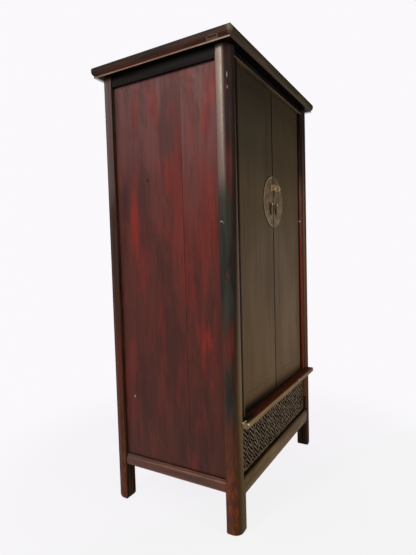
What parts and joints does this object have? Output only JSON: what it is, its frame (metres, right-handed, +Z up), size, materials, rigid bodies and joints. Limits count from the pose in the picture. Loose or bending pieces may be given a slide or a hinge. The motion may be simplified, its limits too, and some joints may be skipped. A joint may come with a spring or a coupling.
{
  "type": "wedding cabinet",
  "caption": "Tall wedding cabinet with paired doors, round-fronted posts, a carved fretwork panel over a hidden compartment, and a round brass lock plate.",
  "frame": {"origin": "on the floor, in the middle of the cabinet's overall plan", "axes": "+X to the right along the front as seen from the front, +Y to the back, +Z up"},
  "size_m": [0.976, 0.653, 1.85],
  "materials": {
    "front_lacquer": "worn dark brown lacquer on the doors and front panels, dull satin",
    "side_lacquer": "red-brown lacquer on the side boards, dull satin",
    "frame_lacquer": "red-brown lacquer on the posts and rails, rubbed through to tan along the edges",
    "bare_wood": "unlacquered softwood, aged brown",
    "aged_brass": "tarnished brass, brighter where it is handled"
  },
  "bodies": {
    "case": {"back_battens": "bare_wood", "back_boards": "bare_wood", "carved_panel": "front_lacquer", "compartment_floor": "bare_wood", "floor_bearers": "bare_wood", "front_bottom_rail": "frame_lacquer", "front_cornice": "frame_lacquer", "front_frieze_rail": "front_lacquer", "front_left_post": "frame_lacquer", "front_right_post": "frame_lacquer", "ledge": "frame_lacquer", "left_bottom_rail": "frame_lacquer", "left_cornice": "frame_lacquer", "left_front_side_board": "side_lacquer", "left_jamb": "front_lacquer", "left_rear_side_board": "side_lacquer", "left_side_battens": "bare_wood", "left_top_rail": "frame_lacquer", "lid_frame_middle": "bare_wood", "lid_frame_rails": "bare_wood", "lid_frame_sides": "bare_wood", "rear_bottom_rail": "bare_wood", "rear_cornice": "frame_lacquer", "rear_left_post": "frame_lacquer", "rear_right_post": "frame_lacquer", "rear_top_rail": "bare_wood", "right_bottom_rail": "frame_lacquer", "right_cornice": "frame_lacquer", "right_front_side_board": "side_lacquer", "right_jamb": "front_lacquer", "right_rear_side_board": "side_lacquer", "right_side_battens": "bare_wood", "right_top_rail": "frame_lacquer", "shelf": "bare_wood", "top_battens": "bare_wood", "top_panel": "bare_wood"},
    "left_door": {"left_door_battens": "bare_wood", "left_door_bottom_rail": "front_lacquer", "left_door_hinge_stile": "front_lacquer", "left_door_lock_stile": "front_lacquer", "left_door_panel": "front_lacquer", "left_door_top_rail": "front_lacquer", "left_lock_staple": "aged_brass", "left_plate": "aged_brass", "left_pull_eye": "aged_brass"},
    "right_door": {"right_door_battens": "bare_wood", "right_door_bottom_rail": "front_lacquer", "right_door_hinge_stile": "front_lacquer", "right_door_lock_stile": "front_lacquer", "right_door_panel": "front_lacquer", "right_door_top_rail": "front_lacquer", "right_lock_staple": "aged_brass", "right_plate": "aged_brass", "right_pull_eye": "aged_brass"},
    "left_pull": {"left_drop_pull": "aged_brass"},
    "right_pull": {"right_drop_pull": "aged_brass"},
    "left_compartment_lid": {"left_lid": "bare_wood"},
    "right_compartment_lid": {"right_lid": "bare_wood"}
  },
  "joints": [
    {"name": "left_door_hinge", "type": "hinge", "parent": "case", "child": "left_door", "pos_m": [-0.356, -0.2635, 1.1], "axis": [0, 0, -1], "range_deg": [0, 90]},
    {"name": "right_door_hinge", "type": "hinge", "parent": "case", "child": "right_door", "pos_m": [0.356, -0.2635, 1.1], "axis": [0, 0, 1], "range_deg": [0, 90]},
    {"name": "left_pull_swing", "type": "hinge", "parent": "left_door", "child": "left_pull", "pos_m": [-0.031, -0.282, 1.278], "axis": [-1, 0, 0], "range_deg": [0, 80]},
    {"name": "right_pull_swing", "type": "hinge", "parent": "right_door", "child": "right_pull", "pos_m": [0.031, -0.282, 1.278], "axis": [-1, 0, 0], "range_deg": [0, 80]},
    {"name": "left_lid_lift", "type": "slide", "parent": "case", "child": "left_compartment_lid", "axis": [0, 0, 1], "range_m": [0, 0.25]},
    {"name": "right_lid_lift", "type": "slide", "parent": "case", "child": "right_compartment_lid", "axis": [0, 0, 1], "range_m": [0, 0.25]}
  ]
}
